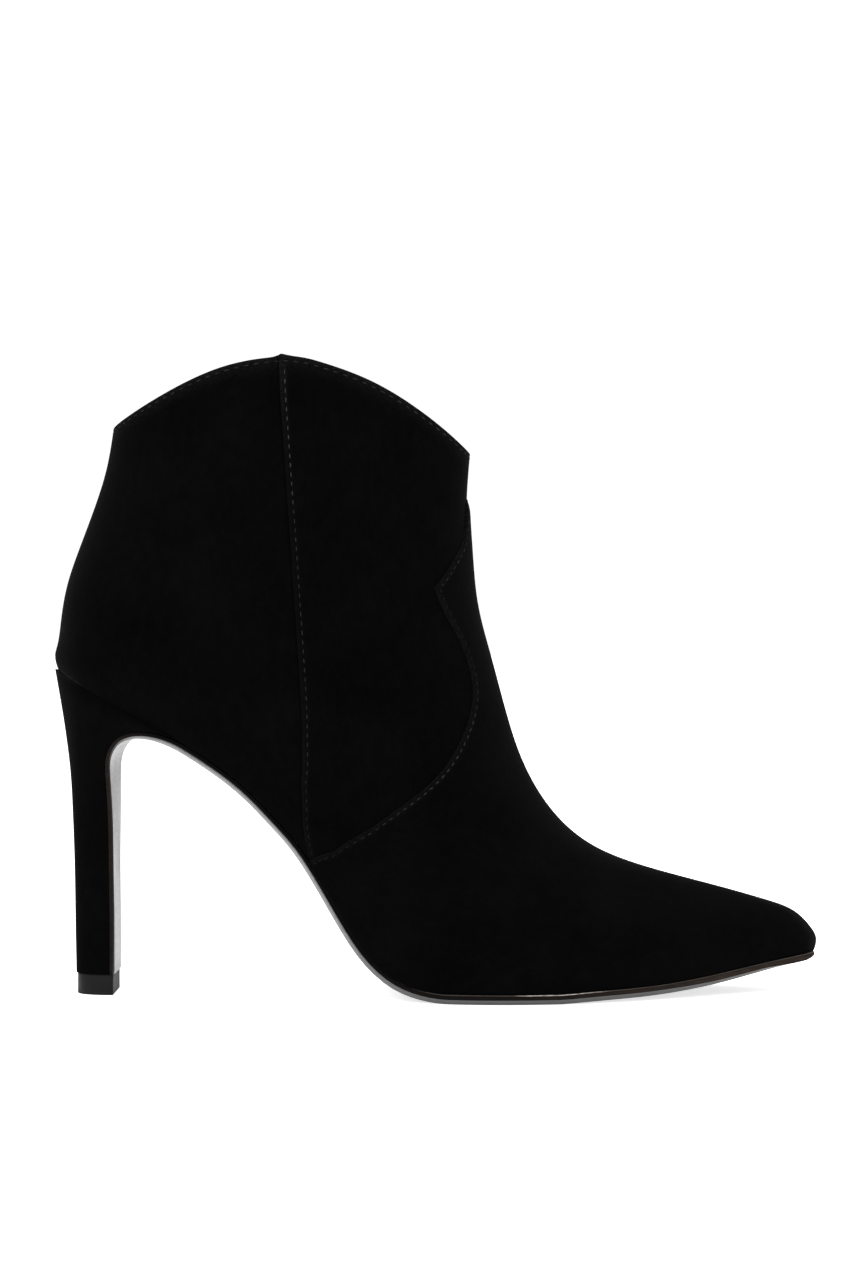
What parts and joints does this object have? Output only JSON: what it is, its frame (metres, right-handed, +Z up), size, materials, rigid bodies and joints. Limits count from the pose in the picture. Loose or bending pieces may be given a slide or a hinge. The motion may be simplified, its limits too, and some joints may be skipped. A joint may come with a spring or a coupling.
{
  "type": "heeled ankle boot",
  "caption": "Black suede heeled ankle boot with a pointed toe, arched collar, winged vamp overlay, thin leather sole and a slim covered heel on a hard top piece.",
  "frame": {"origin": "on the floor under the ball of the foot, on the flat of the tread", "axes": "+X towards the toe, +Y towards the inner side of the foot, +Z up"},
  "size_m": [0.2289, 0.0765, 0.1875],
  "materials": {
    "upper_suede": "suede",
    "vamp_suede": "suede",
    "heel_suede": "suede",
    "sole_leather": "gloss",
    "heel_rubber": "satin",
    "sock_leather": "satin"
  },
  "bodies": {
    "root": {"upper": "upper_suede", "vamp": "vamp_suede", "outsole": "sole_leather", "heel": "heel_suede", "top_piece": "heel_rubber", "insole": "sock_leather"}
  },
  "joints": []
}
